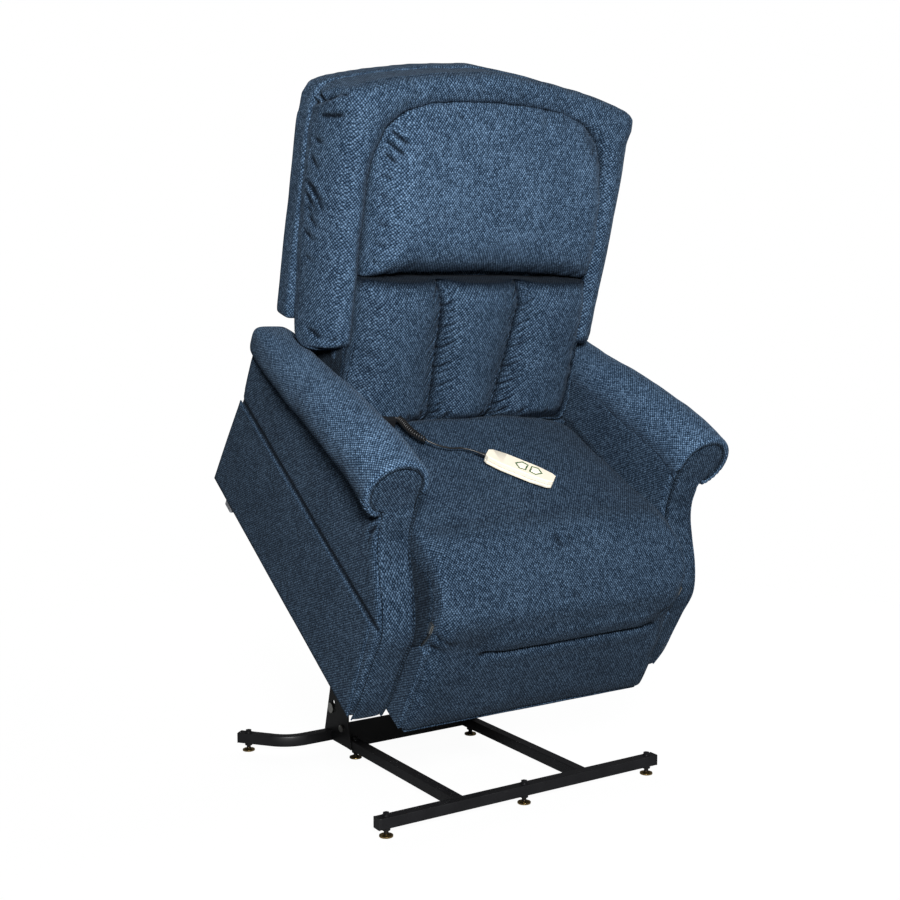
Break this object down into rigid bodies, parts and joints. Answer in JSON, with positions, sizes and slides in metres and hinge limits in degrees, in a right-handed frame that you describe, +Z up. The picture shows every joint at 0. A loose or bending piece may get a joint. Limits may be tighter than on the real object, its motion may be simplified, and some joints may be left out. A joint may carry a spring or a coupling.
{
  "type": "lift recliner chair",
  "caption": "Upholstered power recliner that tilts forward on a steel lift base, with scroll arms, pillow back, folding legrest and a wired handset.",
  "frame": {"origin": "on the floor under the middle of the base's front bar", "axes": "+X to the sitter's left, -Y to the front, +Z up; the rest pose is the raised position"},
  "size_m": [0.9399, 0.9079, 1.6445],
  "materials": {
    "upholstery": "matte",
    "black_steel": "satin",
    "zinc_steel": "satin",
    "black_plastic": "matte",
    "foot_brass": "satin",
    "tube_aluminium": "satin",
    "plywood": "matte",
    "webbing": "matte",
    "grey_plastic": "matte",
    "cream_plastic": "satin",
    "button_cream": "satin",
    "cord_black": "satin"
  },
  "bodies": {
    "base": {"base_front_bar": "black_steel", "base_rear_bar": "black_steel", "base_side_rails": "black_steel", "lift_towers": "black_steel", "tower_cross_plate": "black_steel", "tower_brace_tube": "black_steel", "tower_pins_and_bolts": "zinc_steel", "tube_end_caps": "black_plastic", "levelling_foot_discs": "foot_brass", "levelling_foot_stems": "black_steel", "actuator_clevis": "black_steel", "actuator_pin": "zinc_steel"},
    "upper_links": {"upper_links": "black_steel", "upper_link_torsion_tube": "black_steel"},
    "lower_links": {"lower_links": "black_steel"},
    "actuator_body": {"actuator_gearbox": "black_plastic", "actuator_motor": "black_plastic", "actuator_outer_tube": "tube_aluminium"},
    "actuator_rod": {"actuator_rod": "zinc_steel"},
    "chair": {"lift_rails": "black_steel", "lift_frame_tubes": "black_steel", "lift_frame_pins": "zinc_steel", "actuator_lugs": "black_steel", "seat_side_boards": "plywood", "seat_cross_boards": "plywood", "seat_webbing": "webbing", "arm_mounting_blocks": "plywood", "arm_panel_left": "upholstery", "arm_panel_right": "upholstery", "arm_roll_left": "upholstery", "arm_roll_right": "upholstery", "arm_front_facings": "upholstery", "side_skirts": "upholstery", "rear_panel": "upholstery", "rear_glides": "grey_plastic", "power_box": "black_plastic", "seat_cushion": "upholstery", "legrest_hinge_plates": "zinc_steel", "legrest_crank_pins": "zinc_steel", "back_hinge_plates": "zinc_steel", "handset_back_shell": "cream_plastic", "handset_front_shell": "cream_plastic", "cord_strain_relief": "black_plastic", "cord_grommet": "black_plastic", "cord_coil": "cord_black", "cord_lead": "cord_black"},
    "legrest": {"legrest_pad": "upholstery", "legrest_board": "plywood", "legrest_brackets": "zinc_steel", "legrest_coupler_mounts": "zinc_steel"},
    "legrest_cranks": {"legrest_cranks": "zinc_steel"},
    "legrest_couplers": {"legrest_couplers": "zinc_steel"},
    "back": {"back_bolster": "upholstery", "head_pillow": "upholstery", "lumbar_cushion": "upholstery", "back_frame": "plywood", "back_outer_shell": "upholstery", "back_hinge_arms": "zinc_steel"},
    "button_up": {"button_up": "button_cream"},
    "button_down": {"button_down": "button_cream"}
  },
  "joints": [
    {"name": "lift", "type": "hinge", "parent": "base", "child": "upper_links", "pos_m": [0, 0.4553, 0.2353], "axis": [1, 0, 0], "range_deg": [0, 44.66]},
    {"name": "lift_tilt", "type": "hinge", "parent": "upper_links", "child": "chair", "pos_m": [0, 0.1529, 0.46107], "axis": [1, 0, 0], "range_deg": [-77.16, 0]},
    {"name": "lower_link_swing", "type": "hinge", "parent": "base", "child": "lower_links", "pos_m": [0, 0.5659, 0.105], "axis": [1, 0, 0], "range_deg": [0, 40.25]},
    {"name": "actuator_swing", "type": "hinge", "parent": "base", "child": "actuator_body", "pos_m": [0, 0.45, 0.062], "axis": [1, 0, 0], "range_deg": [0, 36.89]},
    {"name": "actuator_stroke", "type": "slide", "parent": "actuator_body", "child": "actuator_rod", "axis": [0, -0.5857, 0.8105], "range_m": [-0.11071, 0]},
    {"name": "back_recline", "type": "hinge", "parent": "chair", "child": "back", "pos_m": [0, 0.39774, 0.92403], "axis": [-1, 0, 0], "range_deg": [0, 40]},
    {"name": "legrest", "type": "hinge", "parent": "chair", "child": "legrest", "pos_m": [0, -0.1262, 0.47309], "axis": [-1, 0, 0], "range_deg": [0, 80]},
    {"name": "legrest_crank", "type": "hinge", "parent": "chair", "child": "legrest_cranks", "pos_m": [0, 0.03106, 0.55749], "axis": [-1, 0, 0], "range_deg": [0, 80.1]},
    {"name": "legrest_coupler", "type": "hinge", "parent": "legrest", "child": "legrest_couplers", "pos_m": [0, 0.01138, 0.33656], "axis": [-1, 0, 0], "range_deg": [-80.1, 0]},
    {"name": "button_up_press", "type": "slide", "parent": "chair", "child": "button_up", "axis": [0, 0.4939, -0.8695], "range_m": [0, 0.001], "stiffness_N_per_m": 400},
    {"name": "button_down_press", "type": "slide", "parent": "chair", "child": "button_down", "axis": [0, 0.4939, -0.8695], "range_m": [0, 0.001], "stiffness_N_per_m": 400}
  ],
  "couplings": [
    {"joint": "lift_tilt", "follows": "lift", "ratio": -1.7255},
    {"joint": "lower_link_swing", "follows": "lift", "ratio": 0.89892},
    {"joint": "actuator_swing", "follows": "lift", "ratio": 0.82369},
    {"joint": "actuator_stroke", "follows": "lift", "m_per_rad": -0.14165},
    {"joint": "legrest_crank", "follows": "legrest", "ratio": 1},
    {"joint": "legrest_coupler", "follows": "legrest", "ratio": -1}
  ]
}
